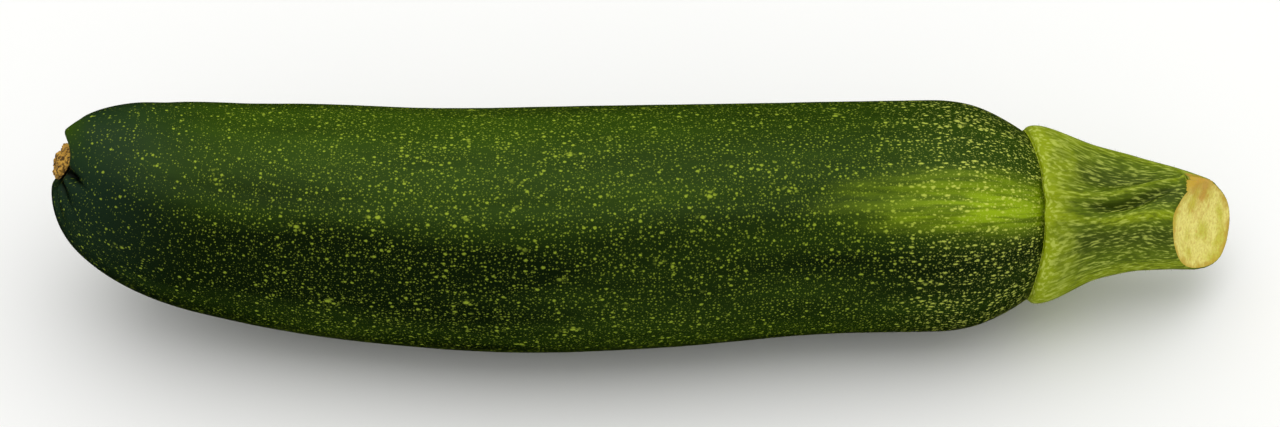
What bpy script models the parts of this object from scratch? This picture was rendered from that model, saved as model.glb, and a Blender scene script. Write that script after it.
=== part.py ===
"""A courgette as picked: the fruit, its cut stem and the corky scar where the flower was.

It lies on a table, z = 0, with the blossom end at -X and the cut stem at +X.
Sizes are in millimetres and are turned into Blender's metres when a mesh is made.
Angles are in degrees round the spine: 0 is up, and 90 is towards the front, -Y.
"""

import math

import bmesh
import bpy
import numpy as np
from mathutils import Vector

for old in list(bpy.data.objects):
    bpy.data.objects.remove(old)

MM = 0.001
WELD = 0.001
SHARP_ANGLE = 50

# The spine, the middle of the fruit and stem, as (along X, value) stations
SPINE_SIDE = ((-96, 5.6), (-89, 4.7), (-81, 3.9), (-73, 3.3), (-56, 2.0), (-40, 0.6), (-23, -0.5), (-6, -0.2),
              (10, 0.9), (27, 2.5), (43, 3.2), (55, 3.8), (65, 4.4), (80, 4.8), (96, 4.2))
SPINE_RISE = ((-96, 31.3), (-89, 27.4), (-81, 24.0), (-73, 21.8), (-56, 20.0), (-40, 19.6), (-23, 19.9),
              (-6, 20.0), (10, 19.7), (27, 19.2), (43, 18.9), (55, 18.4), (65, 17.9), (80, 17.4), (96, 15.1))

# The fruit's girth, as (along X, radius) stations before its ends are rounded off
GIRTH = ((-97, 16.6), (-73, 17.3), (-56, 18.9), (-40, 19.6), (-20, 20.2), (-6, 20.2), (10, 19.8),
         (27, 19.2), (43, 19.0), (68, 19.0))
FRUIT_SIDES = 72
FRUIT_STEPS = 12

# The blossom end, a blunt dome
TIP = -95.7
TIP_LENGTH = 26.0
TIP_BLUNTNESS = 2.3
TIP_STEPS = 20

# The stem end, an arc down to the face that the stem sits on
SHOULDER = 48.5
SHOULDER_ARC = 26.0
SHOULDER_STEPS = 8
SEAT_RADIUS = 12.4

# The hollow round the scar, and the creases that run out of it, as (angle, depth)
DIMPLE_DEPTH = 1.6
DIMPLE_RADIUS = 6.2
CREASES = ((55, 2.2), (82, 1.4), (108, 1.1), (185, 1.1), (250, 1.3), (318, 1.1))
CREASE_WIDTH = 8.0
CREASE_START = 2.0
CREASE_REACH = 8.5

# The lobes between the creases, as (angle, width, swell along, lean over the scar, swell outward behind)
LOBES = ((-24, 44, 2.4, 1.6, 1.8), (146, 40, -0.4, 0.2, 0.0), (226, 40, -1.0, 0.2, 0.0))
LOBE_START = 2.4
LOBE_REACH = 8.5
LOBE_BACK = (2.5, 14.0)

# Low ribs along the fruit, in line with the stem's, which grow towards the shoulder
RIB_HEIGHT = 0.35
RIB_HEIGHT_AT_SHOULDER = 0.8
RIB_GROWTH = (20.0, 50.0)
RIB_END = 4.0
RIB_FADE = 8.0

# The small flat that the fruit lies on
FLAT_SPOT = 0.6
FLAT_WELD = 0.05

# The gaps that keep the solids apart: under the stem and scar, and under the edge of the stem's foot
GAP = 0.3
FOOT_GAP = 0.6

# Places along the stem are shares of the way from its foot, 0, to its cut, 1.
# Its ribs, as (width, (share, angle) stations): two of them lean over towards the top
RIBS = ((24, ((0, -42), (1, -46))),
        (11, ((0, 20), (0.3, 25), (0.5, 22), (0.65, 12), (0.8, -4), (1, -30))),
        (13, ((0, 40), (0.35, 42), (0.6, 44), (0.8, 38), (1, 34))),
        (24, ((0, 110), (1, 106))),
        (24, ((0, 184), (1, 180))),
        (24, ((0, 254), (1, 254))))
STEM_GIRTH = ((0.0, 13.8), (0.05, 14.6), (0.1, 15.0), (0.16, 14.8), (0.22, 13.7), (0.3, 12.1), (0.4, 11.0),
              (0.5, 10.3), (0.61, 9.6), (0.75, 9.0), (0.88, 8.4), (1.0, 7.8))
RIB_DEPTH = ((0.0, 0.02), (0.1, 0.05), (0.22, 0.15), (0.5, 0.20), (0.8, 0.13), (1.0, 0.05))
STEM_SIDES = 96
STEM_STEPS = 32
FOOT_INNER = 13.2
FOOT_CORNER = 0.03

# The foot is narrower where it faces the front, as (angle, width, share of its radius, how far up it fades)
FOOT_NARROWING = (34, 44, 0.11, 0.22)

# The fold between the two leaning ribs, as (share, angle) stations
FOLD = ((0.2, 33), (0.45, 33), (0.6, 27), (0.73, 14), (0.85, 0), (1, -12))
FOLD_DEEPENING = (0.2, 0.45)
FOLD_FADING = (0.75, 0.96)
FOLD_WIDTH = 8.0
FOLD_DEPTH = 1.1
FOLD_CORE = 8.0

# The oblique cut across the stem, a little dished
CUT_POINT = (93.55, 4.3, 15.6)
CUT_FACING = (0.80, -0.47, 0.36)
CUT_EDGE = 0.7
CUT_CORNER = 0.02
CUT_DISH = 0.02
CUT_DISH_RADIUS = 0.6

# The corky scar, a crumpled cushion
SCAR_SEAT = 3.7
SCAR_RADIUS = 3.1
SCAR_HEIGHT = 1.3
SCAR_EDGE = 0.3
SCAR_SQUARENESS = 0.8
SCAR_LUMP = 0.4
SCAR_LUMPS_ROUND = 3
SCAR_LUMPS_OUT = 2.2
SCAR_SIDES = 30
SCAR_STEPS = 6


class Spline:
    """A natural cubic curve through (place, value) stations, straight beyond its ends."""

    def __init__(self, stations):
        self.x, self.y = np.array(stations, float).T
        step = np.diff(self.x)
        rise = np.diff(self.y) / step
        system = np.eye(len(self.x))
        bend = np.zeros(len(self.x))
        for i in range(1, len(self.x) - 1):
            system[i, i - 1:i + 2] = step[i - 1], 2 * (step[i - 1] + step[i]), step[i]
            bend[i] = 6 * (rise[i] - rise[i - 1])
        self.bend = np.linalg.solve(system, bend)

    def span(self, place):
        """The station before a place, the step to the next one and the slope at that station."""
        i = int(np.clip(np.searchsorted(self.x, place) - 1, 0, len(self.x) - 2))
        step = self.x[i + 1] - self.x[i]
        slope = (self.y[i + 1] - self.y[i]) / step - step * (2 * self.bend[i] + self.bend[i + 1]) / 6
        return i, step, slope

    def __call__(self, place):
        inner = min(max(place, self.x[0]), self.x[-1])
        i, step, slope = self.span(inner)
        t = inner - self.x[i]
        twist = (self.bend[i + 1] - self.bend[i]) / (6 * step)
        value = self.y[i] + t * (slope + t * (self.bend[i] / 2 + t * twist))
        return float(value + (place - inner) * self.slope(inner))

    def slope(self, place):
        inner = min(max(place, self.x[0]), self.x[-1])
        i, step, slope = self.span(inner)
        t = inner - self.x[i]
        return float(slope + t * (self.bend[i] + t * (self.bend[i + 1] - self.bend[i]) / (2 * step)))


side, rise, girth = Spline(SPINE_SIDE), Spline(SPINE_RISE), Spline(GIRTH)
stem_girth, rib_depth, fold_line = Spline(STEM_GIRTH), Spline(RIB_DEPTH), Spline(FOLD)
rib_lines = [(width, Spline(stations)) for width, stations in RIBS]


def bent(along, radius, angle):
    """The point at this radius and angle, in radians, round the spine."""
    forward = Vector((1, side.slope(along), rise.slope(along))).normalized()
    front = forward.cross(Vector((0, 0, 1))).normalized()
    up = front.cross(forward).normalized()
    centre = Vector((along, side(along), rise(along)))
    return centre + radius * (math.cos(angle) * up + math.sin(angle) * front)


def ease(share):
    """0 to 1 with level ends."""
    share = min(max(share, 0.0), 1.0)
    return share * share * (3 - 2 * share)


def ease_between(value, ends):
    """0 at the first end and 1 at the second."""
    return ease((value - ends[0]) / (ends[1] - ends[0]))


def ridge(angle, degrees, width):
    """1 on the line at that many degrees, falling to 0 on either side of it."""
    turn = (math.degrees(angle) - degrees + 180) % 360 - 180
    return math.exp(-(turn / width) ** 2)


def ribs(angle, share):
    """1 on each of the stem's ribs and near 0 in the valleys between them."""
    return max(ridge(angle, line(share), width) for width, line in rib_lines)


def dome(radius):
    """Where along the spine the fruit's rounded stem end has a radius."""
    drop = girth(SHOULDER) - radius
    return SHOULDER + math.sqrt(max(SHOULDER_ARC ** 2 - (SHOULDER_ARC - drop) ** 2, 0))


SEAT = dome(SEAT_RADIUS)


def lathe(outline, sides):
    """A closed body turned about X from an outline of (along, radius) pairs."""
    mesh = bmesh.new()
    chain = [mesh.verts.new((along, 0, radius)) for along, radius in outline]
    edges = [mesh.edges.new(pair) for pair in zip(chain, chain[1:])]
    bmesh.ops.spin(mesh, geom=chain + edges, cent=(0, 0, 0), axis=(1, 0, 0), angle=math.tau, steps=sides)
    bmesh.ops.remove_doubles(mesh, verts=mesh.verts, dist=WELD)
    bmesh.ops.recalc_face_normals(mesh, faces=mesh.faces)
    return mesh


def shaped(mesh, rule):
    """Moves each point to where rule(along, radius, angle) puts it, and turns millimetres into metres."""
    for vertex in mesh.verts:
        along, y, z = vertex.co
        vertex.co = rule(along, math.hypot(y, z), math.atan2(-y, z)) * MM


def finish(name, colour, roughness):
    material = bpy.data.materials.new(name)
    material.use_nodes = True
    shader = material.node_tree.nodes["Principled BSDF"]
    shader.inputs["Base Color"].default_value = (*colour, 1)
    shader.inputs["Roughness"].default_value = roughness
    shader.inputs["Metallic"].default_value = 0
    return material


def make_object(name, mesh, material):
    data = bpy.data.meshes.new(name)
    mesh.to_mesh(data)
    mesh.free()
    data.shade_smooth()
    data.set_sharp_from_angle(angle=math.radians(SHARP_ANGLE))
    data.materials.append(material)
    made = bpy.data.objects.new(name, data)
    bpy.context.scene.collection.objects.link(made)
    return made


def fruit_outline():
    """From the middle of the blossom end, along the side, to the middle of the seat."""
    outline = []
    for step in range(TIP_STEPS + 1):
        turn = math.pi / 2 * step / TIP_STEPS
        along = TIP + TIP_LENGTH * (1 - math.cos(turn) ** (2 / TIP_BLUNTNESS))
        outline.append((along, girth(along) * math.sin(turn) ** (2 / TIP_BLUNTNESS)))
    start = TIP + TIP_LENGTH
    for step in range(1, FRUIT_STEPS + 1):
        along = start + (SHOULDER - start) * step / FRUIT_STEPS
        outline.append((along, girth(along)))
    last_turn = math.asin((SEAT - SHOULDER) / SHOULDER_ARC)
    for step in range(1, SHOULDER_STEPS + 1):
        turn = last_turn * step / SHOULDER_STEPS
        drop = SHOULDER_ARC * (1 - math.cos(turn))
        outline.append((SHOULDER + SHOULDER_ARC * math.sin(turn), girth(SHOULDER) - drop))
    return outline + [(SEAT, SEAT_RADIUS / 2), (SEAT, 0)]


def tip_point(along, radius, angle):
    """Sinks the creases of the blossom end, flattens the dimple's floor and swells the lobes."""
    back = along - TIP
    from_seat = radius - SCAR_SEAT
    crease = sum(depth * ridge(angle, degrees, CREASE_WIDTH) for degrees, depth in CREASES)
    along += crease * ease(from_seat / CREASE_START) * (1 - ease(from_seat / CREASE_REACH))
    floor = 1 - ease(from_seat / (DIMPLE_RADIUS - SCAR_SEAT))
    along += (TIP + DIMPLE_DEPTH - along) * floor
    in_front = ease(from_seat / LOBE_START) * (1 - ease(back / LOBE_REACH))
    behind = ease(back / LOBE_BACK[0]) * (1 - ease_between(back, LOBE_BACK))
    for degrees, width, forward, lean, outward in LOBES:
        share = ridge(angle, degrees, width)
        radius += (outward * behind - lean * in_front) * share
        along -= forward * share * in_front
    return along, radius


def fruit_point(along, radius, angle):
    """Adds the low ribs and the shape of the blossom end, and bends the fruit along its spine."""
    from_tip = ease((along - TIP) / TIP_LENGTH)
    height = RIB_HEIGHT + (RIB_HEIGHT_AT_SHOULDER - RIB_HEIGHT) * ease_between(along, RIB_GROWTH)
    radius += height * (ribs(angle, 0) - 0.5) * from_tip * ease((SEAT - RIB_END - along) / RIB_FADE)
    if from_tip < 1:
        along, radius = tip_point(along, radius, angle)
    return bent(along, radius, angle)


def make_fruit():
    """The fruit, and the height of the small flat cut under it."""
    mesh = lathe(fruit_outline(), FRUIT_SIDES)
    shaped(mesh, fruit_point)
    lowest = min(vertex.co.z for vertex in mesh.verts)
    floor = Vector((0, 0, lowest + FLAT_SPOT * MM))
    cut = bmesh.ops.bisect_plane(mesh, geom=mesh.verts[:] + mesh.edges[:] + mesh.faces[:], plane_co=floor,
                                 plane_no=(0, 0, -1), clear_outer=True)
    rim = [part for part in cut["geom_cut"] if isinstance(part, bmesh.types.BMVert)]
    bmesh.ops.remove_doubles(mesh, verts=rim, dist=FLAT_WELD * MM)
    bmesh.ops.holes_fill(mesh, edges=[edge for edge in mesh.edges if edge.is_boundary])
    return make_object("fruit", mesh, finish("waxy green skin", (0.045, 0.08, 0.01), 0.4)), floor.z


def cut_at(radius, angle):
    """How far along the spine the oblique cut lies at this radius and angle."""
    near, far = bent(SEAT, radius, angle), bent(CUT_POINT[0], radius, angle)
    facing = Vector(CUT_FACING)
    share = facing.dot(Vector(CUT_POINT) - near) / facing.dot(far - near)
    return SEAT + share * (CUT_POINT[0] - SEAT)


def stem_outline():
    """The underside, marked with -1, and then (share, radius on a rib) from the foot to the cut's middle."""
    outline = [(-1, 0), (-1, SEAT_RADIUS / 2), (-1, SEAT_RADIUS - GAP), (0, FOOT_INNER)]
    for step in range(STEM_STEPS + 1):
        share = FOOT_CORNER + (1 - FOOT_CORNER - CUT_CORNER) * step / STEM_STEPS
        outline.append((share, stem_girth(share)))
    edge = stem_girth(1)
    return outline + [(1, edge - CUT_EDGE), (1 - CUT_DISH, edge * CUT_DISH_RADIUS), (1 - CUT_DISH, 0)]


def stem_point(share, radius, angle):
    """Places a point of the stem between the fruit's dome and the oblique cut, with its ribs and fold."""
    if share < 0:
        return bent(SEAT + GAP, radius, angle)
    fold = FOLD_DEPTH * ridge(angle, fold_line(share), FOLD_WIDTH) * ease_between(share, FOLD_DEEPENING)
    fold *= 1 - ease_between(share, FOLD_FADING)
    degrees, width, narrowing, fade = FOOT_NARROWING
    radius *= 1 - rib_depth(share) * (1 - ribs(angle, share))
    radius *= 1 - narrowing * ridge(angle, degrees, width) * (1 - ease(share / fade))
    radius -= fold * ease(radius / FOLD_CORE)
    foot = dome(radius) + FOOT_GAP
    return bent(foot + share * (cut_at(radius, angle) - foot), radius, angle)


def make_stem():
    mesh = lathe(stem_outline(), STEM_SIDES)
    shaped(mesh, stem_point)
    return make_object("stem", mesh, finish("ribbed green stem", (0.205, 0.283, 0.013), 0.55))


def scar_outline():
    """A low cushion, flat underneath, as (along, radius) pairs with its flat side at 0."""
    outline = [(0, 0), (0, SCAR_RADIUS / 2), (0, SCAR_RADIUS)]
    for step in range(1, SCAR_STEPS + 1):
        turn = math.pi / 2 * step / SCAR_STEPS
        height = SCAR_EDGE + (SCAR_HEIGHT - SCAR_EDGE) * math.sin(turn)
        outline.append((-height, SCAR_RADIUS * math.cos(turn) ** SCAR_SQUARENESS))
    return outline


def scar_point(along, radius, angle):
    """Sets the scar on the dimple's floor, facing out, with a crumpled top."""
    if along < 0:
        lumps = math.sin(SCAR_LUMPS_ROUND * angle + radius) * math.sin(SCAR_LUMPS_OUT * radius + angle)
        along -= SCAR_LUMP * lumps * ease(radius)
    return bent(TIP + DIMPLE_DEPTH - GAP + along, radius, angle)


def make_scar():
    mesh = lathe(scar_outline(), SCAR_SIDES)
    shaped(mesh, scar_point)
    return make_object("blossom_scar", mesh, finish("dry cork", (0.323, 0.191, 0.036), 0.9))


def make_courgette():
    """Makes the three pieces and stands them over the origin, resting on z = 0."""
    fruit, floor = make_fruit()
    pieces = [fruit, make_stem(), make_scar()]
    points = np.array([vertex.co for piece in pieces for vertex in piece.data.vertices])
    middle = (points.min(axis=0) + points.max(axis=0)) / 2
    for piece in pieces:
        piece.location = (-middle[0], -middle[1], -floor)


make_courgette()
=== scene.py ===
"""A courgette's skin, stem, cut face and blossom scar, on a pale table under a soft light.

Sizes are in millimetres where they describe the courgette, and become Blender's metres in its meshes.
Angles go round the spine: 0 is up, and 90 is towards the front, -Y.
"""

import math
from typing import NamedTuple

import bpy
import numpy as np
from bpy.props import FloatProperty, FloatVectorProperty, IntProperty, PointerProperty
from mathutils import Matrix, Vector


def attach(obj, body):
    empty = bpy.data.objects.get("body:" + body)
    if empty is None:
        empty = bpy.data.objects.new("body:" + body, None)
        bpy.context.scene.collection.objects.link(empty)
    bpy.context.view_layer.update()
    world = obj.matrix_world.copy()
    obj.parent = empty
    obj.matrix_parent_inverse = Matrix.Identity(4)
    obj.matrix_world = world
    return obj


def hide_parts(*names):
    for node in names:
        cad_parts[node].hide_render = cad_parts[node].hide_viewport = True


bl_info = {
    "name": "Courgette",
    "version": (1, 0, 0),
    "blender": (4, 5, 0),
    "location": "3D View > Sidebar > Courgette",
    "description": "Makes a courgette with its flecked skin, ribbed stem, cut face and blossom scar",
    "category": "Add Mesh",
}

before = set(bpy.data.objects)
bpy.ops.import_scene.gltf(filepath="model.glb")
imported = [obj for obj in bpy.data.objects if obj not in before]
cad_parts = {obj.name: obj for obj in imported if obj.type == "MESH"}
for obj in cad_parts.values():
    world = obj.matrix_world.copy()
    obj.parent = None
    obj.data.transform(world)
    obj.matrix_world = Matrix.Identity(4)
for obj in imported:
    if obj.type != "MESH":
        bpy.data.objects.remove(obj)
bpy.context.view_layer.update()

MM = 0.001
CM2 = 0.0001
SHARP_ANGLE = 40
# From the spine's own frame to the middle of the courgette's footprint
STAND = (-0.87, -0.925, 0.035)

# The spine, the middle of the fruit and stem, as (along X, value) stations
SPINE_SIDE = ((-96, 5.6), (-89, 4.7), (-81, 3.9), (-73, 3.3), (-56, 2.0), (-40, 0.6), (-23, -0.5), (-6, -0.2),
              (10, 0.9), (27, 2.5), (43, 3.2), (55, 3.8), (65, 4.4), (80, 4.8), (96, 4.2))
SPINE_RISE = ((-96, 31.3), (-89, 27.4), (-81, 24.0), (-73, 21.8), (-56, 20.0), (-40, 19.6), (-23, 19.9),
              (-6, 20.0), (10, 19.7), (27, 19.2), (43, 18.9), (55, 18.4), (65, 17.9), (80, 17.4), (96, 15.1))

# The fruit's girth, as (along X, radius) stations before its ends are rounded off
GIRTH = ((-97, 16.6), (-73, 17.3), (-56, 18.9), (-40, 19.6), (-20, 20.2), (-6, 20.2), (10, 19.8),
         (27, 19.2), (43, 19.0), (68, 19.0))
FRUIT_SIDES = 224
FRUIT_STEPS = 130

# The blossom end, a blunt dome
TIP = -95.7
TIP_LENGTH = 26.0
TIP_BLUNTNESS = 2.3
TIP_STEPS = 90

# The stem end, an arc down to the face that the stem sits on
SHOULDER = 48.5
SHOULDER_ARC = 26.0
SHOULDER_STEPS = 30
SEAT_RADIUS = 12.4
SEAT_STEPS = 6

# The hollow round the scar, and the creases that run out of it, as (angle, depth)
DIMPLE_DEPTH = 1.6
DIMPLE_RADIUS = 6.2
CREASES = ((55, 2.2), (82, 1.4), (108, 1.1), (185, 1.1), (250, 1.3), (318, 1.1))
CREASE_WIDTH = 8.0
CREASE_START = 2.0
CREASE_REACH = 8.5
# The painted shade in the bottoms of the creases: its width at the scar, how far it reaches as it tapers off,
# and the share of that width that is left at its ends
CREASE_LINE = 0.5
CREASE_LINE_REACH = 8.0
CREASE_LINE_END = 0.1

# The lobes between the creases, as (angle, width, swell along, lean over the scar, swell outward behind),
# where they start beside the scar, how far back they reach, and where the swell behind grows and ends
LOBES = ((-24, 44, 2.4, 1.6, 1.8), (146, 40, -0.4, 0.2, 0.0), (226, 40, -1.0, 0.2, 0.0))
LOBE_START = 2.4
LOBE_REACH = 8.5
LOBE_BACK = (2.5, 14.0)

# Where the fruit's low ribs begin to grow and where they fade out under the stem
RIB_GROWTH = (20.0, 50.0)
RIB_END = 4.0
RIB_FADE = 8.0

# The gap under the stem and scar, and how deep the edge of the stem's foot is sunk in the fruit
GAP = 0.3
FOOT_SUNK = 0.25

# Places along the stem are shares of the way from its foot, 0, to its cut, 1.
# Its ribs, as (width, (share, angle) stations): two of them lean over towards the top
RIBS = ((24, ((0, -42), (1, -46))),
        (11, ((0, 20), (0.3, 25), (0.5, 22), (0.65, 12), (0.8, -4), (1, -30))),
        (13, ((0, 40), (0.35, 42), (0.6, 44), (0.8, 38), (1, 34))),
        (24, ((0, 110), (1, 106))),
        (24, ((0, 184), (1, 180))),
        (24, ((0, 254), (1, 254))))
STEM_GIRTH = ((0.0, 13.8), (0.05, 14.6), (0.1, 15.0), (0.16, 14.8), (0.22, 13.7), (0.3, 12.1), (0.4, 11.0),
              (0.5, 10.3), (0.61, 9.6), (0.75, 9.0), (0.88, 8.4), (1.0, 7.8))
RIB_DEPTH = ((0.0, 0.02), (0.1, 0.05), (0.22, 0.15), (0.5, 0.20), (0.8, 0.13), (1.0, 0.05))
STEM_SIDES = 300
STEM_STEPS = 130
FOOT_INNER = 13.2
FOOT_CORNER = 0.03
# The foot is narrower where it faces the front, as (angle, width, share of its radius, how far up it fades)
FOOT_NARROWING = (34, 44, 0.11, 0.22)
FOOT_STEPS = 10

# The fold between the two leaning ribs, as (share, angle) stations
FOLD = ((0.2, 33), (0.45, 33), (0.6, 27), (0.73, 14), (0.85, 0), (1, -12))
FOLD_DEEPENING = (0.2, 0.45)
FOLD_FADING = (0.75, 0.96)
FOLD_WIDTH = 8.0
FOLD_DEPTH = 1.1
FOLD_CORE = 8.0

# The oblique cut across the stem, a little dished
CUT_POINT = (93.55, 4.3, 15.6)
CUT_FACING = (0.80, -0.47, 0.36)
CUT_EDGE = 0.4
CUT_CORNER = 0.012
CUT_DISH = 0.02
CUT_DISH_RADIUS = 0.6
CUT_STEPS = 40

# Where the skin beside the cut has torn away, as (angle, width, share of the stem's length), and how deep
TORN_SKIN = (-32, 20, 0.085)
TORN_DEPTH = 0.35
# Its jagged edge, as (share of its length, number round the stem, turn)
TORN_TEETH = ((0.12, 17, 0), (0.1, 29, 1))
# The share of the stem's length beside the tear where the skin is drying
DRYING_LENGTH = 0.05
# The scrap of skin that stands up at that tear, as (angle, width)
SCRAP = (-20, 8)
SCRAP_LIFT = 0.7
SCRAP_LENGTH = 0.06
# The middle of the torn flesh on the cut
TORN_ANGLE = -36
TORN_RADIUS = 5.6

# The corky scar, a crumpled cushion
SCAR_RADIUS = 3.1
SCAR_SEAT = 3.7
SCAR_HEIGHT = 1.3
SCAR_EDGE = 0.3
SCAR_SQUARENESS = 0.8
SCAR_LUMP = 0.4
SCAR_LUMPS_ROUND = 3
SCAR_LUMPS_OUT = 2.2
SCAR_SIDES = 96
SCAR_STEPS = 36
# The lumps' spacing and the crumbs' radius, and the number of crumbs on a square metre
CORK_GRAIN = 0.9
CRUMB_RADIUS = 0.16
CRUMB_DENSITY = 2.5e6
# A bristle's thickness as a share of its length, and how far it leans, in radians
BRISTLE_RADIUS = 0.035
BRISTLE_LEAN = 0.5

# Patterns are drawn on the courgette as if it were a straight rod of these radii. The blossom end keeps
# its own radius, up to where the rod begins
FRUIT_ROD = 18.0
ROD_BEGINS = (-40, 0)
STEM_ROD = 10.0
STEM_LENGTH = 30.0
# The stem's pattern follows the ribs that lean over: from which share of its length, how many degrees to
# either side of the fold, and how much of the way
LEAN_FROM = 0.3
LEAN_WIDTH = 50
LEAN_SHARE = 0.5


class Flecks(NamedTuple):
    """One size of the pale flecks in the skin, in millimetres, with the share of places that hold one."""
    spacing: float
    radius: float
    stretch: float
    share: float
    strength: float


FLECKS = (Flecks(0.36, 0.11, 1.1, 1.0, 0.3),
          Flecks(0.54, 0.17, 1.2, 0.95, 0.6),
          Flecks(1.05, 0.25, 1.4, 0.7, 0.9))
# Short blotches, each a cluster of flecks, and the streaks near the stem
BLOTCHES = Flecks(3.6, 0.85, 2.0, 0.5, 1.0)
BLOTCH_FLECKS = Flecks(0.7, 0.34, 1.6, 1.0, 1.0)
STREAKS = Flecks(0.66, 0.2, 2.4, 1.0, 1.0)

# Long bands of painted light and shade round the fruit, lighter on top and darkest on its side that faces
# forward, as (angle, width, tone), lighter above 0 and darker below
LIGHT_AND_SHADE_BANDS = ((-15, 50, 0.3), (62, 24, -0.7), (108, 30, -0.3), (160, 30, -0.25), (200, 22, 0.15),
              (245, 26, -0.2))
# The yellower rim over the scar, as (angle, width, where it begins to fade, where it has faded)
YOUNG_RIM = (-38, 40, 6.0, 10.0)
# How far behind the scar the bluish skin, with its painted sheen, begins to fade and has faded
BLOSSOM_FADING = (4, 34)
# The light patch, as (along X, angle), with its half length, height and depth
PATCH_CENTRE = (56, 34)
PATCH_SIZE = (26, 7, 7)
# How far from the stem its streaks begin to show and are full
STREAKS_FADING = (32, 12)
# Flecks are fewer at the scar, with this share of them there, and all of them from so far behind it
LEAST_CROWDING = 0.2
CROWDED_FROM = 55
# The least and largest fleck as shares of its kind's radius, and the share of a fleck that is full colour
FLECK_SIZES = (0.8, 1.3)
FLECK_CORE = 0.4
# Where the dark band of painted shade grows weaker towards the stem, and by what share
BAND_FADING = (-45, 15)
BAND_FADED = 0.55

# The stage in metres, with angles in degrees and lens sizes in millimetres
FLOOR_SIZE = 6.0
SOFTBOX_SIZE = (1.3, 1.0)
SOFTBOX_HEIGHT = 0.75
SOFTBOX_BACK = 0.1
SOFTBOX_POWER = 3.4
ROOM_LIGHT = 0.8
CAMERA_ELEVATION = 50
CAMERA_DISTANCE = 0.8
CAMERA_TARGET = (-0.87 * MM, 0.875 * MM, 21.51 * MM)
CAMERA_LENS = 136
SENSOR_WIDTH = 36


def linear(hex_colour):
    """An sRGB hex colour, such as 2b3d10, in Blender's linear values."""
    shares = [int(hex_colour[i:i + 2], 16) / 255 for i in (0, 2, 4)]
    return [share / 12.92 if share <= 0.04045 else ((share + 0.055) / 1.055) ** 2.4 for share in shares]


def colour_setting(name, description, hex_colour):
    """A colour that a user may change, given as sRGB hex."""
    return FloatVectorProperty(name=name, description=description, default=linear(hex_colour), size=3,
                               min=0, max=1, subtype="COLOR")


def length_setting(name, description, millimetres):
    """A length that a user may change, given in millimetres."""
    return FloatProperty(name=name, description=description, default=millimetres * MM, min=0, unit="LENGTH",
                         precision=5)


class CourgetteSizes(bpy.types.PropertyGroup):
    """The sizes of the fine relief that a user may change"""
    rib_height: length_setting("Rib height", "Height of the low ribs along the fruit", 0.35)
    shoulder_rib_height: length_setting("Shoulder rib height", "Height of those ribs near the stem", 0.8)
    ripple_height: length_setting("Ripple height", "Height of the skin's shallow unevenness", 0.12)
    ripple_length: length_setting("Ripple length", "Distance between the skin's shallow swells", 7.0)
    fibre_height: length_setting("Fibre height", "Height of the fine ridges along the stem", 0.16)
    fibre_width: length_setting("Fibre width", "Distance between the fine ridges along the stem", 0.55)
    bristle_length: length_setting("Bristle length", "Length of the stem's short hairs", 0.5)
    bristle_count: IntProperty(name="Bristle density", description="Bristles on each square centimetre",
                               default=90, min=0)
    cork_roughness: length_setting("Cork roughness", "Height of the lumps on the blossom scar", 0.6)


class CourgetteColours(bpy.types.PropertyGroup):
    """The colours of the skin, stem, cut and scar"""
    # Deep skin is also the colour of the painted shade in the dark bands
    deep_skin_and_shade: colour_setting("Deep skin", "Darkest green between the flecks", "0c1c00")
    skin: colour_setting("Skin", "Usual green between the flecks", "324c02")
    # Crease is the painted shade in the bottoms of the creases
    crease: colour_setting("Crease", "Nearly black green in the creases round the scar", "060d02")
    # Blossom end skin is the blossom end's own green with a painted bluish sheen in it
    blossom_skin_and_sheen: colour_setting("Blossom end skin", "Bluish green near the scar", "1a3020")
    fleck: colour_setting("Fleck", "Pale yellow-green of the flecks", "9cb02c")
    stem_end_fleck: colour_setting("Stem end fleck", "Paler yellow of the flecks near the stem", "c0ca54")
    light_patch: colour_setting("Light patch", "Yellow-green patch near the stem", "90ac0a")
    foot: colour_setting("Stem foot", "Yellow-green of the stem's foot", "8b9c00")
    neck: colour_setting("Stem neck", "Green of the stem's neck", "5a6e00")
    # Stem groove is the dark fibres' green and also the painted shade in the neck's valleys
    groove_and_valley_shade: colour_setting("Stem groove", "Dark green of the stem's grooves", "364600")
    streak: colour_setting("Stem streak", "Pale streaks and blotches on the stem", "bfcb58")
    flesh: colour_setting("Cut flesh", "Pale yellow of the cut face", "f2e87e")
    young_flesh: colour_setting("Green flesh", "Greenish yellow between the cut's pale parts", "ccc83e")
    rim: colour_setting("Cut rim", "Ochre of the cut's drying rim", "c2a02c")
    torn: colour_setting("Torn flesh", "Orange-brown of the torn part of the cut", "c99a3c")
    cork: colour_setting("Cork", "Tan of the dry scar", "cc9c3e")
    dark_cork: colour_setting("Dark cork", "Brown in the scar's hollows", "553b10")


class Spline:
    """A natural cubic curve through (place, value) stations, straight beyond its ends."""

    def __init__(self, stations):
        self.x, self.y = np.array(stations, float).T
        step = np.diff(self.x)
        rise = np.diff(self.y) / step
        system = np.eye(len(self.x))
        bend = np.zeros(len(self.x))
        for i in range(1, len(self.x) - 1):
            system[i, i - 1:i + 2] = step[i - 1], 2 * (step[i - 1] + step[i]), step[i]
            bend[i] = 6 * (rise[i] - rise[i - 1])
        self.bend = np.linalg.solve(system, bend)

    def span(self, place):
        """The station before each place, the step to the next one and the slope at that station."""
        i = np.clip(np.searchsorted(self.x, place) - 1, 0, len(self.x) - 2)
        step = self.x[i + 1] - self.x[i]
        slope = (self.y[i + 1] - self.y[i]) / step - step * (2 * self.bend[i] + self.bend[i + 1]) / 6
        return i, step, slope

    def __call__(self, place):
        inner = np.clip(place, self.x[0], self.x[-1])
        i, step, slope = self.span(inner)
        t = inner - self.x[i]
        twist = (self.bend[i + 1] - self.bend[i]) / (6 * step)
        value = self.y[i] + t * (slope + t * (self.bend[i] / 2 + t * twist))
        return value + (place - inner) * self.slope(inner)

    def slope(self, place):
        inner = np.clip(place, self.x[0], self.x[-1])
        i, step, slope = self.span(inner)
        t = inner - self.x[i]
        return slope + t * (self.bend[i] + t * (self.bend[i + 1] - self.bend[i]) / (2 * step))


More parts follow.
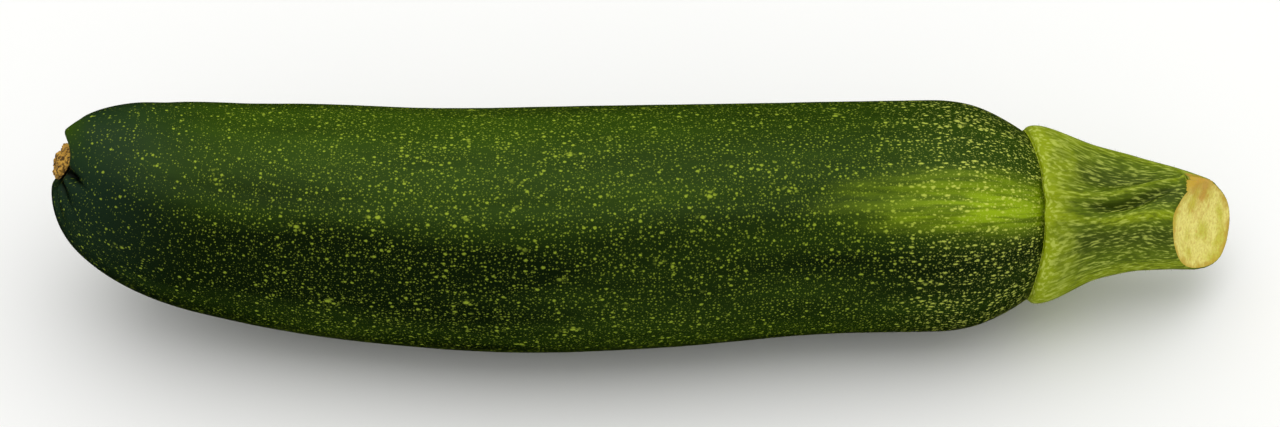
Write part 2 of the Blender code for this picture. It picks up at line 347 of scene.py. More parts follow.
side, rise, girth = Spline(SPINE_SIDE), Spline(SPINE_RISE), Spline(GIRTH)
stem_girth, rib_depth, fold_line = Spline(STEM_GIRTH), Spline(RIB_DEPTH), Spline(FOLD)
rib_lines = [(width, Spline(stations)) for width, stations in RIBS]


def unit(vectors):
    """The vectors, each made one long."""
    return vectors / np.linalg.norm(vectors, axis=-1, keepdims=True)


def bent(along, radius, angle):
    """The points, in millimetres, at these radii and angles round the spine."""
    along, radius, angle = np.broadcast_arrays(along, radius, angle)
    forward = unit(np.stack([np.ones(along.shape), side.slope(along), rise.slope(along)], -1))
    front = unit(np.cross(forward, (0, 0, 1)))
    up = np.cross(front, forward)
    centre = np.stack([along, side(along), rise(along)], -1) + STAND
    return centre + radius[..., None] * (np.cos(angle)[..., None] * up + np.sin(angle)[..., None] * front)


def ease(share):
    """0 to 1 with level ends."""
    share = np.clip(share, 0, 1)
    return share * share * (3 - 2 * share)


def ease_between(value, ends):
    """0 at the first end and 1 at the second."""
    return ease((value - ends[0]) / (ends[1] - ends[0]))


def ridge(angle, degrees, width):
    """1 on the line at that many degrees, falling to 0 on either side of it."""
    turn = (np.degrees(angle) - degrees + 180) % 360 - 180
    return np.exp(-(turn / width) ** 2)


def ribs(angle, share):
    """1 on each of the stem's ribs and near 0 in the valleys between them."""
    return np.max([ridge(angle, line(share), width) for width, line in rib_lines], axis=0)


def dome(radius):
    """Where along the spine the fruit's rounded stem end has a radius."""
    drop = girth(SHOULDER) - radius
    return SHOULDER + np.sqrt(np.maximum(SHOULDER_ARC ** 2 - (SHOULDER_ARC - drop) ** 2, 0))


SEAT = float(dome(SEAT_RADIUS))


def add(tree, kind, inputs=(), **settings):
    """Adds a node with its settings to a tree, and gives its sockets values or links from other nodes."""
    node = tree.nodes.new(kind)
    for name, value in settings.items():
        setattr(node, name, value)
    for key, value in dict(inputs).items():
        named = [socket for socket in node.inputs if socket.enabled and socket.name == key]
        socket = named[0] if named else node.inputs[key]
        if isinstance(value, bpy.types.Node):
            value = next(output for output in value.outputs if output.enabled)
        if isinstance(value, bpy.types.NodeSocket):
            tree.links.new(value, socket)
        else:
            socket.default_value = value
    return node


def new_tree(name, sizes):
    """A Geometry Nodes tree with geometry, a material and these sizes as inputs, and its input node."""
    tree = bpy.data.node_groups.new(name, "GeometryNodeTree")
    tree.interface.new_socket("Geometry", in_out="INPUT", socket_type="NodeSocketGeometry")
    tree.interface.new_socket("Geometry", in_out="OUTPUT", socket_type="NodeSocketGeometry")
    tree.interface.new_socket("Material", in_out="INPUT", socket_type="NodeSocketMaterial")
    for size in sizes:
        tree.interface.new_socket(size, in_out="INPUT", socket_type="NodeSocketFloat")
    return tree, add(tree, "NodeGroupInput")


def moved_outward(tree, geometry, distance):
    """The geometry with each point moved along its normal."""
    step = add(tree, "ShaderNodeVectorMath", {0: add(tree, "GeometryNodeInputNormal"), "Scale": distance},
               operation="SCALE")
    return add(tree, "GeometryNodeSetPosition", {"Geometry": geometry, "Offset": step})


def finish_tree(tree, geometry, material):
    """Ends a tree with real geometry that has its material."""
    real = add(tree, "GeometryNodeRealizeInstances", {"Geometry": geometry})
    finished = add(tree, "GeometryNodeSetMaterial", {"Geometry": real, "Material": material})
    add(tree, "NodeGroupOutput", {"Geometry": finished})


def grow(piece, tree, values):
    """Runs a Geometry Nodes tree on a piece and keeps what it makes as the piece's plain mesh."""
    modifier = piece.modifiers.new(tree.name, "NODES")
    modifier.node_group = tree
    for item in tree.interface.items_tree:
        if item.in_out == "INPUT" and item.name in values:
            modifier[item.identifier] = values[item.name]
    graph = bpy.context.evaluated_depsgraph_get()
    before = piece.data
    piece.data = bpy.data.meshes.new_from_object(piece.evaluated_get(graph), preserve_all_data_layers=True,
                                                 depsgraph=graph)
    piece.modifiers.remove(modifier)
    bpy.data.meshes.remove(before)
    piece.data.name = piece.name


def closed_tube(name, points, **patterns):
    """A closed mesh from rings of points in millimetres, whose first and last rings are single points.

    Each pattern is an array with a number or a vector for every point, kept on the mesh under its name.
    """
    rings, sides = points.shape[:2]

    def per_point(values):
        inner = values[1:-1].reshape(-1, *values.shape[2:])
        return np.concatenate([values[:1, 0], inner, values[-1:, 0]])

    ring = 1 + sides * np.arange(rings - 3)[:, None]
    here = np.arange(sides)
    after = (here + 1) % sides
    quads = np.stack([ring + here, ring + after, ring + sides + after, ring + sides + here], -1)
    last = 1 + sides * (rings - 2)
    near_fan = [(0, a, h) for h, a in zip(1 + here, 1 + after)]
    far_fan = [(last, h, a) for h, a in zip(last - sides + here, last - sides + after)]
    data = bpy.data.meshes.new(name)
    faces = quads.reshape(-1, 4).tolist() + near_fan + far_fan
    data.from_pydata((per_point(points) * MM).tolist(), [], faces)
    for pattern, values in patterns.items():
        flat = per_point(np.broadcast_to(values, (rings, sides, *values.shape[2:])))
        kind, field = ("FLOAT_VECTOR", "vector") if flat.ndim == 2 else ("FLOAT", "value")
        data.attributes.new(pattern, kind, "POINT").data.foreach_set(field, flat.astype(np.float32).ravel())
    data.update()
    piece = bpy.data.objects.new(name, data)
    bpy.context.scene.collection.objects.link(piece)
    return piece


def settle(piece, node):
    """Shades a finished piece smooth, stands it in for its solid and lets it ride on the part."""
    piece.data.shade_smooth()
    piece.data.set_sharp_from_angle(angle=math.radians(SHARP_ANGLE))
    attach(piece, "root")
    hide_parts(node)


def new_material(name, **constants):
    """A material, its tree and its Principled shader, with constants set on the shader's own sockets."""
    material = bpy.data.materials.new(name)
    material.use_nodes = True
    shader = material.node_tree.nodes["Principled BSDF"]
    for socket, value in constants.items():
        shader.inputs[socket.replace("_", " ")].default_value = value
    return material, material.node_tree, shader


def layered(tree, base, layers):
    """A colour with others laid over it one after another, each by its share."""
    colour = (*base, 1)
    for share, tint in layers:
        colour = add(tree, "ShaderNodeMix", {"Factor": share, "A": colour, "B": (*tint, 1)}, data_type="RGBA")
    return colour


def waxy_skin(colours):
    """Waxy courgette rind: deep green with long bands of painted light and shade, full of soft pale flecks,
    with a painted bluish sheen near the scar, painted shade in its creases and a satin shine.
    """
    material, tree, shader = new_material("waxy courgette rind", Roughness=0.42, IOR=1.45,
                                          Specular_IOR_Level=0.12)
    straight = add(tree, "ShaderNodeAttribute", attribute_name="straight").outputs["Vector"]
    tip, shoulder, tone, young, crease = (
        add(tree, "ShaderNodeAttribute", attribute_name=name).outputs["Fac"]
        for name in ("from_tip", "to_shoulder", "tone", "young", "crease"))

    # Streaks of tone some 5 mm wide that run along the fruit, over its long bands of painted light and shade
    band_place = add(tree, "ShaderNodeMapping", {"Vector": straight, "Scale": (0.15, 1, 1)})
    bands = add(tree, "ShaderNodeTexNoise", {"Vector": band_place, "Scale": 1 / (5 * MM), "Detail": 4.0})
    # The share of the lighter skin: random streaks plus the painted light and shade of the bands
    band_share = add(tree, "ShaderNodeMath", {0: bands, 1: tone}, operation="ADD", use_clamp=True)
    # Near the scar the skin turns a bluish grey-green, its own green with a painted sheen, less so on the
    # yellower rim
    blossom = add(tree, "ShaderNodeMapRange", {"Value": tip, "From Min": BLOSSOM_FADING[0] * MM,
                                               "From Max": BLOSSOM_FADING[1] * MM, "To Min": 0.8,
                                               "To Max": 0.0}, interpolation_type="SMOOTHSTEP")
    blossom = add(tree, "ShaderNodeMath", {0: blossom, 1: young}, operation="SUBTRACT", use_clamp=True)

    # The light patch, a long oval on the side that faces up and forward
    patch_centre = straight_on(*PATCH_CENTRE)
    patch_place = add(tree, "ShaderNodeVectorMath", {0: straight, 1: patch_centre}, operation="SUBTRACT")
    patch_size = add(tree, "ShaderNodeMapping", {"Vector": patch_place,
                                                 "Scale": [1 / (size * MM) for size in PATCH_SIZE]})
    patch_reach = add(tree, "ShaderNodeVectorMath", {0: patch_size}, operation="LENGTH")
    patch_edge = add(tree, "ShaderNodeMath", {0: patch_reach.outputs["Value"], 1: bands}, operation="ADD")
    patch = add(tree, "ShaderNodeMapRange", {"Value": patch_edge, "From Min": 1.7, "From Max": 0.5},
                interpolation_type="SMOOTHSTEP")
    # Fine streaks under 1 mm wide break the patch up
    streak_place = add(tree, "ShaderNodeMapping", {"Vector": straight, "Scale": (0.1, 1, 1)})
    fine = add(tree, "ShaderNodeTexNoise", {"Vector": streak_place, "Scale": 1 / (0.8 * MM), "Detail": 3.0})
    fine = add(tree, "ShaderNodeMapRange", {"Value": fine, "From Min": 0.36, "From Max": 0.56,
                                            "To Min": 0.4, "To Max": 1.0})
    patch = add(tree, "ShaderNodeMath", {0: patch, 1: fine}, operation="MULTIPLY")
    # Deep skin where the streaks are darker and where shade is painted, the bluish skin with its painted
    # sheen near the scar, and the light patch
    ground = layered(tree, colours.deep_skin_and_shade, ((band_share, colours.skin), (blossom, colours.blossom_skin_and_sheen),
                                               (patch, colours.light_patch)))

    # Uneven edges for the flecks
    wobble = add(tree, "ShaderNodeTexNoise", {"Vector": straight, "Scale": 1 / (0.5 * MM), "Detail": 2.0})
    wobble = add(tree, "ShaderNodeVectorMath", {0: wobble.outputs["Color"], 1: (0.5, 0.5, 0.5)},
                 operation="SUBTRACT")
    wobble = add(tree, "ShaderNodeVectorMath", {0: wobble, "Scale": 0.3 * MM}, operation="SCALE")
    place = add(tree, "ShaderNodeVectorMath", {0: straight, 1: wobble}, operation="ADD")
    near_stem = add(tree, "ShaderNodeMapRange", {"Value": shoulder, "From Min": STREAKS_FADING[0] * MM,
                                                 "From Max": STREAKS_FADING[1] * MM},
                    interpolation_type="SMOOTHSTEP")
    crowding = add(tree, "ShaderNodeMapRange", {"Value": tip, "From Max": CROWDED_FROM * MM,
                                                "To Min": LEAST_CROWDING, "To Max": 1.0})

    def scattered(kind, crowd):
        """The strength of this kind of fleck, in as many of its places as its share and the crowd say."""
        stretched = add(tree, "ShaderNodeMapping", {"Vector": place, "Scale": (1 / kind.stretch, 1, 1)})
        cells = add(tree, "ShaderNodeTexVoronoi", {"Vector": stretched, "Scale": 1 / (kind.spacing * MM),
                                                   "Randomness": 0.75})
        chance = add(tree, "ShaderNodeSeparateColor", {"Color": cells.outputs["Color"]})
        smallest, largest = (share * kind.radius / kind.spacing for share in FLECK_SIZES)
        size = add(tree, "ShaderNodeMapRange", {"Value": chance.outputs["Green"], "To Min": smallest,
                                                "To Max": largest})
        core = add(tree, "ShaderNodeMath", {0: size, 1: FLECK_CORE}, operation="MULTIPLY")
        fleck = add(tree, "ShaderNodeMapRange", {"Value": cells.outputs["Distance"], "From Min": size,
                                                 "From Max": core, "To Max": kind.strength},
                    interpolation_type="SMOOTHSTEP")
        holding = add(tree, "ShaderNodeMath", {0: crowd, 1: kind.share}, operation="MULTIPLY")
        held = add(tree, "ShaderNodeMath", {0: chance.outputs["Red"], 1: holding}, operation="LESS_THAN")
        return add(tree, "ShaderNodeMath", {0: fleck, 1: held}, operation="MULTIPLY")

    flecks = add(tree, "ShaderNodeMath", {0: scattered(BLOTCHES, crowding), 1: scattered(BLOTCH_FLECKS, 1.0)},
                 operation="MULTIPLY")
    for kind in FLECKS:
        flecks = add(tree, "ShaderNodeMath", {0: flecks, 1: scattered(kind, crowding)}, operation="MAXIMUM")
    flecks = add(tree, "ShaderNodeMath", {0: flecks, 1: scattered(STREAKS, near_stem)}, operation="MAXIMUM")
    # The flecks are dimmed where the bands paint shade and where the streaks are darker
    lit = add(tree, "ShaderNodeMapRange", {"Value": band_share, "To Min": 0.7, "To Max": 1.0})
    shown = add(tree, "ShaderNodeMath", {0: flecks, 1: lit}, operation="MULTIPLY")
    fleck_colour = layered(tree, colours.fleck, ((near_stem, colours.stem_end_fleck),))
    colour = add(tree, "ShaderNodeMix", {"Factor": shown, "A": ground, "B": fleck_colour}, data_type="RGBA")
    # Painted shade, nearly black, in the bottoms of the creases
    colour = add(tree, "ShaderNodeMix", {"Factor": crease, "A": colour, "B": (*colours.crease, 1)},
                 data_type="RGBA", clamp_factor=True)
    tree.links.new(colour.outputs[2], shader.inputs["Base Color"])

    # Pores about 0.4 mm apart, and flecks that stand a hair proud
    pores = add(tree, "ShaderNodeTexNoise", {"Vector": straight, "Scale": 1 / (0.4 * MM), "Detail": 3.0})
    relief = add(tree, "ShaderNodeMath", {0: flecks, 1: 0.4, 2: pores}, operation="MULTIPLY_ADD")
    bump = add(tree, "ShaderNodeBump", {"Height": relief, "Strength": 0.35, "Distance": 0.05 * MM})
    tree.links.new(bump.outputs["Normal"], shader.inputs["Normal"])
    return material


def straight_on(along, degrees):
    """The place of a point of the fruit in the straight pattern."""
    angle = math.radians(degrees)
    return (along * MM, FRUIT_ROD * MM * math.cos(angle), FRUIT_ROD * MM * math.sin(angle))


def ribbed_rind(colours):
    """Stem rind: a mottled yellow-green foot and a green neck with pale fibres, dull and a little waxy."""
    material, tree, shader = new_material("ribbed stem rind", Roughness=0.5, IOR=1.45,
                                          Specular_IOR_Level=0.2)
    straight = add(tree, "ShaderNodeAttribute", attribute_name="straight").outputs["Vector"]
    share, rib, drying = (add(tree, "ShaderNodeAttribute", attribute_name=name).outputs["Fac"]
                          for name in ("share", "rib", "drying"))

    # The foot and the neck meet in a mottled edge, and the neck's valleys are darkened with painted shade
    mottle = add(tree, "ShaderNodeTexNoise", {"Vector": straight, "Scale": 1 / (2.5 * MM), "Detail": 3.0})
    foot_edge = add(tree, "ShaderNodeMath", {0: mottle, 1: 0.3, 2: share}, operation="MULTIPLY_ADD")
    neck_share = add(tree, "ShaderNodeMapRange", {"Value": foot_edge, "From Min": 0.25, "From Max": 0.5},
                     interpolation_type="SMOOTHSTEP")
    valley_shade = add(tree, "ShaderNodeMapRange", {"Value": rib, "From Min": 0.45, "From Max": -0.1})
    valley_shade = add(tree, "ShaderNodeMath", {0: valley_shade, 1: neck_share}, operation="MULTIPLY")

    # Pale and dark fibres 0.2 mm wide and 2 mm long
    fibre_place = add(tree, "ShaderNodeMapping", {"Vector": straight, "Scale": (0.2, 1, 1)})
    fibres = add(tree, "ShaderNodeTexNoise", {"Vector": fibre_place, "Scale": 1 / (0.34 * MM), "Detail": 2.0})
    pale = add(tree, "ShaderNodeMapRange", {"Value": fibres, "From Min": 0.53, "From Max": 0.68,
                                            "To Max": 0.6})
    dark = add(tree, "ShaderNodeMapRange", {"Value": fibres, "From Min": 0.48, "From Max": 0.36,
                                            "To Max": 0.5})
    dark = add(tree, "ShaderNodeMath", {0: dark, 1: neck_share}, operation="MULTIPLY")
    crest = add(tree, "ShaderNodeMapRange", {"Value": rib, "From Min": 0.7, "From Max": 1.0, "To Max": 0.8})

    # Pale blotches about 0.5 mm across on the foot
    blotch_place = add(tree, "ShaderNodeMapping", {"Vector": straight, "Scale": (0.6, 1, 1)})
    blotches = add(tree, "ShaderNodeTexNoise", {"Vector": blotch_place, "Scale": 1 / (0.5 * MM),
                                                "Detail": 2.0})
    blotch = add(tree, "ShaderNodeMapRange", {"Value": blotches, "From Min": 0.5, "From Max": 0.62,
                                              "To Max": 0.65})
    light = add(tree, "ShaderNodeMix", {"Factor": neck_share, "A": blotch, "B": pale})

    # Brown where the skin dries beside the tear
    drying = add(tree, "ShaderNodeMath", {0: drying, 1: blotches, 2: -0.2}, operation="MULTIPLY_ADD",
                 use_clamp=True)
    drying = add(tree, "ShaderNodeMath", {0: drying, 1: 2.6}, operation="MULTIPLY", use_clamp=True)

    colour = layered(tree, colours.foot, ((neck_share, colours.neck), (valley_shade, colours.groove_and_valley_shade),
                                          (crest, colours.foot), (dark, colours.groove_and_valley_shade),
                                          (light, colours.streak), (drying, colours.torn)))
    tree.links.new(colour.outputs[2], shader.inputs["Base Color"])
    bump = add(tree, "ShaderNodeBump", {"Height": fibres, "Strength": 0.5, "Distance": 0.1 * MM})
    tree.links.new(bump.outputs["Normal"], shader.inputs["Normal"])
    return material


def moist_flesh(colours):
    """Cut courgette flesh: pale, granular and moist, with a drying ochre rim and a torn brown part."""
    material, tree, shader = new_material("moist cut flesh", Roughness=0.45, IOR=1.38,
                                          Specular_IOR_Level=0.4)
    place = add(tree, "ShaderNodeTexCoord").outputs["Object"]
    rim = add(tree, "ShaderNodeAttribute", attribute_name="rim").outputs["Fac"]
    wide, clouds, grains = (
        add(tree, "ShaderNodeTexNoise", {"Vector": place, "Scale": 1 / (size * MM), "Detail": detail})
        for size, detail in ((4.5, 5.0), (2.2, 4.0), (0.5, 2.0)))
    rim_edge = add(tree, "ShaderNodeMath", {0: clouds, 1: 0.5, 2: rim}, operation="MULTIPLY_ADD")
    rim_share = add(tree, "ShaderNodeMapRange", {"Value": rim_edge, "From Min": 1.04, "From Max": 1.26,
                                                 "To Max": 0.9}, interpolation_type="SMOOTHSTEP")
    green_share = add(tree, "ShaderNodeMapRange", {"Value": wide, "From Min": 0.56, "From Max": 0.4,
                                                   "To Max": 0.9})
    torn_centre = tuple(cut_surface(TORN_RADIUS, math.radians(TORN_ANGLE)) * MM)
    reach = add(tree, "ShaderNodeVectorMath", {0: place, 1: torn_centre}, operation="DISTANCE")
    torn_edge = add(tree, "ShaderNodeMath", {0: clouds, 1: 5 * MM, 2: reach.outputs["Value"]},
                    operation="MULTIPLY_ADD")
    torn = add(tree, "ShaderNodeMapRange", {"Value": torn_edge, "From Min": 8 * MM, "From Max": 3.5 * MM,
                                            "To Max": 0.9}, interpolation_type="SMOOTHSTEP")
    patchy = add(tree, "ShaderNodeMapRange", {"Value": clouds, "From Min": 0.42, "From Max": 0.6,
                                              "To Min": 1.0, "To Max": 0.4})
    torn = add(tree, "ShaderNodeMath", {0: torn, 1: patchy}, operation="MULTIPLY")
    shade = add(tree, "ShaderNodeMapRange", {"Value": grains, "From Min": 0.3, "From Max": 0.6,
                                             "To Min": 0.5, "To Max": 0.0})
    # Small brown pits, some 2 mm apart
    pits = add(tree, "ShaderNodeTexVoronoi", {"Vector": place, "Scale": 1 / (1.7 * MM)})
    pit = add(tree, "ShaderNodeMapRange", {"Value": pits.outputs["Distance"], "From Min": 0.24,
                                           "From Max": 0.08, "To Max": 0.6})
    colour = layered(tree, colours.flesh, ((green_share, colours.young_flesh), (rim_share, colours.rim),
                                           (torn, colours.torn), (shade, colours.rim), (pit, colours.torn)))
    tree.links.new(colour.outputs[2], shader.inputs["Base Color"])
    bump = add(tree, "ShaderNodeBump", {"Height": grains, "Strength": 0.8, "Distance": 0.18 * MM})
    tree.links.new(bump.outputs["Normal"], shader.inputs["Normal"])
    return material


def dry_cork(colours):
    """Dry scar cork: matt, crumbly and tan, nearly black-brown in its hollows."""
    material, tree, shader = new_material("dry scar cork", Roughness=0.9, IOR=1.45)
    place = add(tree, "ShaderNodeTexCoord").outputs["Object"]
    lumps = add(tree, "ShaderNodeTexNoise", {"Vector": place, "Scale": 1 / (0.5 * MM), "Detail": 4.0})
    light = add(tree, "ShaderNodeMapRange", {"Value": lumps, "From Min": 0.4, "From Max": 0.56})
    colour = layered(tree, colours.dark_cork, ((light, colours.cork),))
    tree.links.new(colour.outputs[2], shader.inputs["Base Color"])
    bump = add(tree, "ShaderNodeBump", {"Height": lumps, "Strength": 0.9, "Distance": 0.3 * MM})
    tree.links.new(bump.outputs["Normal"], shader.inputs["Normal"])
    return material


def white_card():
    """Matt white card: an even pale floor with no shine."""
    material, _, shader = new_material("matt white card", Roughness=0.9, IOR=1.45)
    shader.inputs["Base Color"].default_value = (*linear("f4f4f2"), 1)
    return material


def fruit_outline():
    """From the middle of the blossom end, along the side, to the middle of the seat, as along and radius."""
    turn = np.linspace(0, math.pi / 2, TIP_STEPS + 1)
    tip = TIP + TIP_LENGTH * (1 - np.cos(turn) ** (2 / TIP_BLUNTNESS))
    tip_radius = girth(tip) * np.sin(turn) ** (2 / TIP_BLUNTNESS)
    body = np.linspace(TIP + TIP_LENGTH, SHOULDER, FRUIT_STEPS + 1)[1:]
    last_turn = math.asin((SEAT - SHOULDER) / SHOULDER_ARC)
    arc = np.linspace(0, last_turn, SHOULDER_STEPS + 1)[1:]
    shoulder = SHOULDER + SHOULDER_ARC * np.sin(arc)
    shoulder_radius = girth(SHOULDER) - SHOULDER_ARC * (1 - np.cos(arc))
    seat_radius = SEAT_RADIUS * np.linspace(1, 0, SEAT_STEPS + 1)[1:]
    along = np.concatenate([tip, body, shoulder, np.full(SEAT_STEPS, SEAT)])
    return along, np.concatenate([tip_radius, girth(body), shoulder_radius, seat_radius])


def tip_point(along, radius, angle):
    """Sinks the creases of the blossom end, flattens the dimple's floor and swells the lobes."""
    back = along - TIP
    from_seat = radius - SCAR_SEAT
    crease = sum(depth * ridge(angle, degrees, CREASE_WIDTH) for degrees, depth in CREASES)
    along = along + crease * ease(from_seat / CREASE_START) * (1 - ease(from_seat / CREASE_REACH))
    floor = 1 - ease(from_seat / (DIMPLE_RADIUS - SCAR_SEAT))
    along = along + (TIP + DIMPLE_DEPTH - along) * floor
    in_front = ease(from_seat / LOBE_START) * (1 - ease(back / LOBE_REACH))
    behind = ease(back / LOBE_BACK[0]) * (1 - ease_between(back, LOBE_BACK))
    for degrees, width, forward, lean, outward in LOBES:
        share = ridge(angle, degrees, width)
        radius = radius + (outward * behind - lean * in_front) * share
        along = along - forward * share * in_front
    return along, radius


def make_fruit_mesh():
    """The fruit's closed skin without its ribs, with where its patterns lie as if it were straight."""
    along, radius = (values[:, None] for values in fruit_outline())
    angle = np.linspace(0, math.tau, FRUIT_SIDES, endpoint=False)[None]
    along, radius, angle = np.broadcast_arrays(along, radius, angle)
    from_tip = ease((along - TIP) / TIP_LENGTH)
    tip_along, tip_radius = tip_point(along, radius, angle)
    points = bent(np.where(from_tip < 1, tip_along, along), np.where(from_tip < 1, tip_radius, radius), angle)
    walked = np.concatenate([[0], np.cumsum(np.hypot(np.diff(along[:, 0]), np.diff(radius[:, 0])))])[:, None]
    walked = np.broadcast_to(walked, along.shape)
    middle = walked[np.argmin(abs(along[:, 0])), 0]
    to_rod = ease_between(along, ROD_BEGINS)
    rod = np.where(along < 0, radius, FRUIT_ROD) * (1 - to_rod) + FRUIT_ROD * to_rod
    straight = np.stack([walked - middle, rod * np.cos(angle), rod * np.sin(angle)], -1)
    rib = (ribs(angle, 0) - 0.5) * from_tip * ease((SEAT - RIB_END - along) / RIB_FADE)
    # Painted light and shade in bands round the fruit, with the dark band weaker towards the stem
    tone = sum(value * ridge(angle, degrees, width) for degrees, width, value in LIGHT_AND_SHADE_BANDS)
    tone = tone * (1 - BAND_FADED * ease_between(along, BAND_FADING))
    young = ridge(angle, *YOUNG_RIM[:2]) * (1 - ease_between(walked, YOUNG_RIM[2:]))
    # Painted shade in the creases' bottoms: narrow lines that taper away from the scar
    from_seat = radius - SCAR_SEAT
    taper = np.clip(1 - from_seat / CREASE_LINE_REACH, CREASE_LINE_END, 1)
    width = np.degrees(CREASE_LINE * taper / np.maximum(radius, SCAR_RADIUS))
    crease = sum(depth * ridge(angle, degrees, width) for degrees, depth in CREASES)
    crease = crease * (1 - ease(from_seat / CREASE_LINE_REACH)) * (along < 0)
    return closed_tube("courgette_fruit", points, straight=straight * MM, rib=rib,
                       growth=ease_between(along, RIB_GROWTH), tone=tone + young, crease=crease, young=young,
                       from_tip=walked * MM, to_shoulder=(SEAT - along) * MM)


def rib_tree():
    """Raises the fruit's ribs and shallow ripples along its normals and keeps it above the table."""
    tree, given = new_tree("Ribs and ripples", ("Rib height", "Shoulder rib height", "Ripple height",
                                                "Ripple length", "Seed"))
    rib, growth = (add(tree, "GeometryNodeInputNamedAttribute", {"Name": name}, data_type="FLOAT")
                   for name in ("rib", "growth"))
    straight = add(tree, "GeometryNodeInputNamedAttribute", {"Name": "straight"}, data_type="FLOAT_VECTOR")
    height = add(tree, "ShaderNodeMix", {"Factor": growth, "A": given.outputs["Rib height"],
                                         "B": given.outputs["Shoulder rib height"]})
    raised = add(tree, "ShaderNodeMath", {0: rib, 1: height}, operation="MULTIPLY")
    length = add(tree, "ShaderNodeMath", {0: 1.0, 1: given.outputs["Ripple length"]}, operation="DIVIDE")
    noise = add(tree, "ShaderNodeTexNoise", {"Vector": straight, "W": given.outputs["Seed"], "Scale": length,
                                             "Detail": 3.0}, noise_dimensions="4D")
    swell = add(tree, "ShaderNodeMath", {0: noise, 1: 0.5}, operation="SUBTRACT")
    offset = add(tree, "ShaderNodeMath", {0: swell, 1: given.outputs["Ripple height"], 2: raised},
                 operation="MULTIPLY_ADD")
    moved = moved_outward(tree, given.outputs["Geometry"], offset)
    # The flat spot that the fruit lies on
    rested = add(tree, "ShaderNodeVectorMath", {0: add(tree, "GeometryNodeInputPosition"), 1: (-1, -1, 0)},
                 operation="MAXIMUM")
    rested = add(tree, "GeometryNodeSetPosition", {"Geometry": moved, "Position": rested})
    finish_tree(tree, rested, given.outputs["Material"])
    return tree


def cut_at(radius, angle):
    """How far along the spine the oblique cut lies at these radii and angles."""
    near, far = bent(SEAT, radius, angle), bent(CUT_POINT[0], radius, angle)
    point = np.add(CUT_POINT, STAND)
    share = ((point - near) @ CUT_FACING) / ((far - near) @ CUT_FACING)
    return SEAT + share * (CUT_POINT[0] - SEAT)


def cut_surface(radius, angle):
    """The point of the cut plane at this radius and angle."""
    return bent(cut_at(radius, angle), radius, angle)


def stem_outline():
    """From the middle of the underside over the foot and the cut's rim to its middle, as share and radius."""
    under = np.linspace(0, SEAT_RADIUS - GAP, 5)
    foot_turn = np.linspace(0, math.pi / 2, FOOT_STEPS + 1)
    foot_share = FOOT_CORNER * (1 - np.cos(foot_turn))
    foot_radius = FOOT_INNER + (stem_girth(FOOT_CORNER) - FOOT_INNER) * np.sin(foot_turn)
    side_share = np.linspace(FOOT_CORNER, 1 - CUT_CORNER, STEM_STEPS + 1)[1:]
    edge = stem_girth(1)
    turn = np.linspace(0, math.pi / 2, 6)[1:]
    rim_share = 1 - CUT_CORNER * (1 - np.sin(turn))
    rim_radius = edge - CUT_EDGE * (1 - np.cos(turn))
    face_radius = (edge - CUT_EDGE) * np.linspace(1, 0, CUT_STEPS + 1)[1:]
    face_share = 1 - CUT_DISH * ease((edge - face_radius) / (edge * (1 - CUT_DISH_RADIUS)))
    share = np.concatenate([np.full(5, -1), foot_share, side_share, rim_share, face_share])
    radius = np.concatenate([under, foot_radius, stem_girth(side_share), rim_radius, face_radius])
    return share, radius


def torn_length(angle):
    """How far down from the cut the skin has torn away, as a share of the stem's length."""
    degrees, width, length = TORN_SKIN
    jagged = 1 + sum(height * np.sin(angle * number + turn) for height, number, turn in TORN_TEETH)
    return length * ridge(angle, degrees, width) * jagged


def stem_point(share, radius, angle):
    """Places points of the stem between the fruit's dome and the oblique cut, with its ribs and fold."""
    fold = FOLD_DEPTH * ridge(angle, fold_line(share), FOLD_WIDTH) * ease_between(share, FOLD_DEEPENING)
    fold = fold * (1 - ease_between(share, FOLD_FADING))
    rib = ribs(angle, share)
    before_tear = 1 - torn_length(angle) - share
    lift = SCRAP_LIFT * ridge(angle, *SCRAP) * (before_tear > 0) * ease(1 - before_tear / SCRAP_LENGTH)
    lift = lift - TORN_DEPTH * (before_tear <= 0) * ridge(angle, *TORN_SKIN[:2])
    degrees, width, narrowing, fade = FOOT_NARROWING
    outer = radius * (1 - rib_depth(share) * (1 - rib))
    outer = outer * (1 - narrowing * ridge(angle, degrees, width) * (1 - ease(share / fade)))
    outer = outer + (lift - fold) * ease(outer / FOLD_CORE)
    foot = dome(outer) - FOOT_SUNK
    placed = bent(foot + share * (cut_at(outer, angle) - foot), outer, angle)
    under = bent(SEAT + GAP, radius, angle)
    return np.where(share[..., None] < 0, under, placed), rib - fold / FOLD_DEPTH


def make_stem_mesh():
    """The stem's closed skin and cut face without its fibres."""
    share, radius = (values[:, None] for values in stem_outline())
    angle = np.linspace(0, math.tau, STEM_SIDES, endpoint=False)[None]
    share, radius, angle = np.broadcast_arrays(share, radius, angle)
    points, rib = stem_point(share, radius, angle)
    lean = np.radians(fold_line(share) - fold_line(LEAN_FROM)) * ridge(angle, fold_line(share), LEAN_WIDTH)
    turned = angle - LEAN_SHARE * lean
    straight = np.stack([share * STEM_LENGTH, STEM_ROD * np.cos(turned), STEM_ROD * np.sin(turned)], -1)
    rim = radius / stem_girth(1)
    rows = np.arange(len(share))[:, None]
    on_cut = np.broadcast_to(rows >= len(share) - CUT_STEPS - 2, share.shape)
    torn = (share > 1 - torn_length(angle)) & (torn_length(angle) > 0.01)
    on_cut = (on_cut | torn).astype(float)
    drying = ease(1 - (1 - torn_length(angle) - share) / DRYING_LENGTH) * ridge(angle, *TORN_SKIN[:2])
    drying = drying * (1 - ridge(angle, *SCRAP))
    return closed_tube("courgette_stem", points, straight=straight * MM, share=share, rib=rib, rim=rim,
                       on_cut=on_cut, drying=drying)


